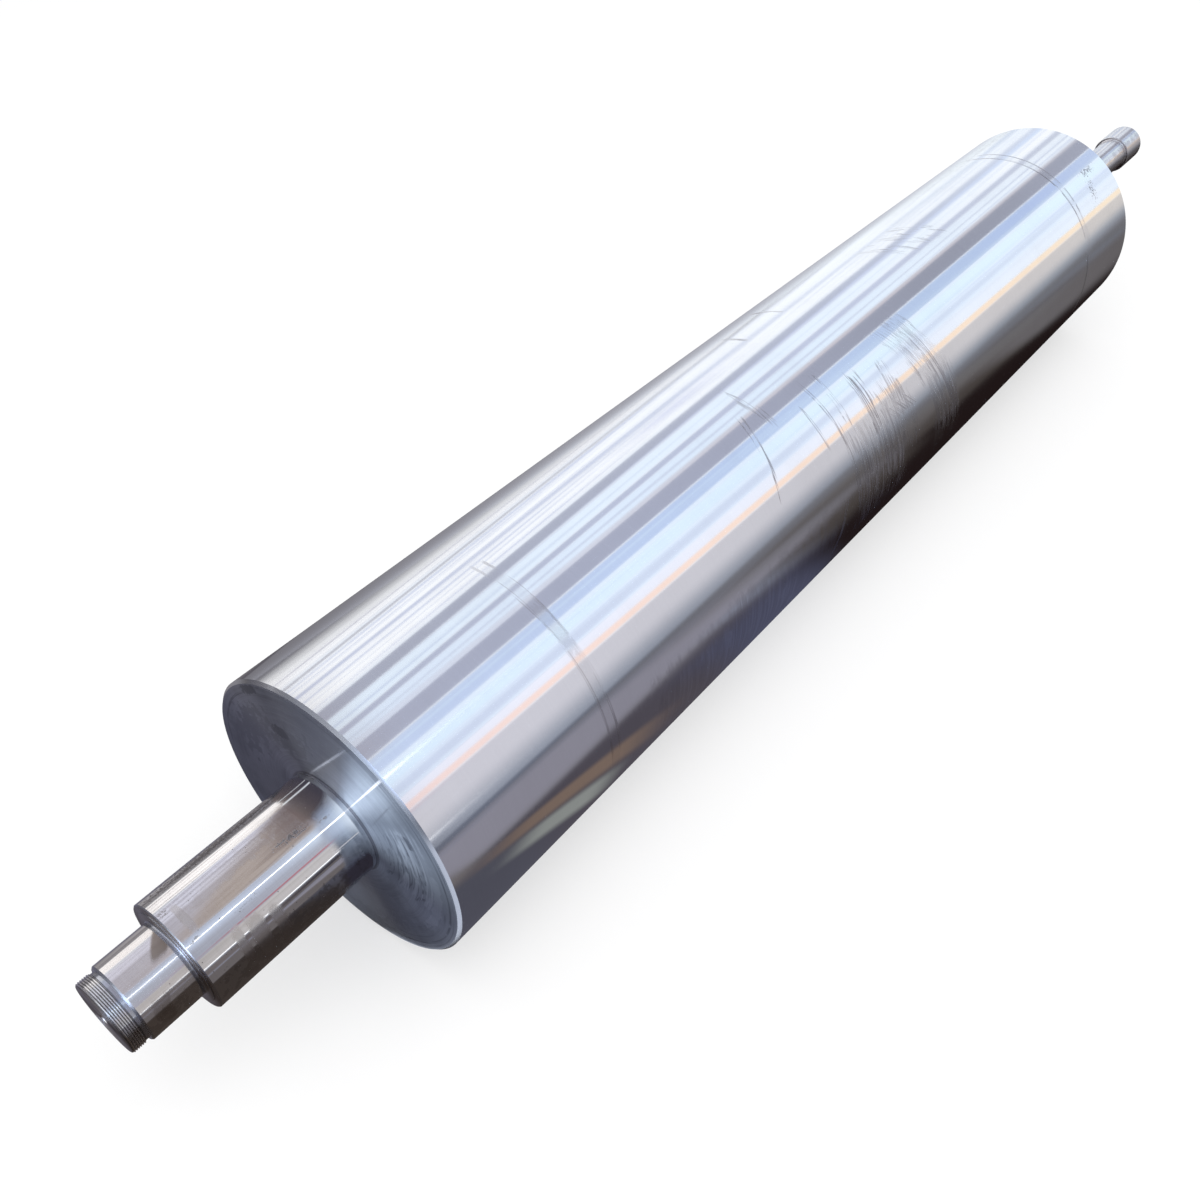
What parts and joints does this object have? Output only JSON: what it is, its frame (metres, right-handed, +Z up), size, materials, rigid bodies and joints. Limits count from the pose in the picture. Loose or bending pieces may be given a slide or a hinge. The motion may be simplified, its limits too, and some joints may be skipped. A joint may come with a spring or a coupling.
{
  "type": "chrome plated roller",
  "caption": "Chrome plated steel roller with stepped bearing journals, lock nut threads and a drive end, for carrying or pressing web on a packaging line.",
  "frame": {"origin": "middle of the barrel's length, on the roller's axis", "axes": "+X along the roller's axis towards the drive end, with the short threaded end at -X; +Z up with the roller lying level"},
  "size_m": [2.302, 0.3248, 0.3248],
  "materials": {
    "chromed_steel": "ground hard chrome on the barrel, bright turned and ground steel on the journals and faces"
  },
  "bodies": {
    "root": {"roller": "chromed_steel"}
  },
  "joints": []
}
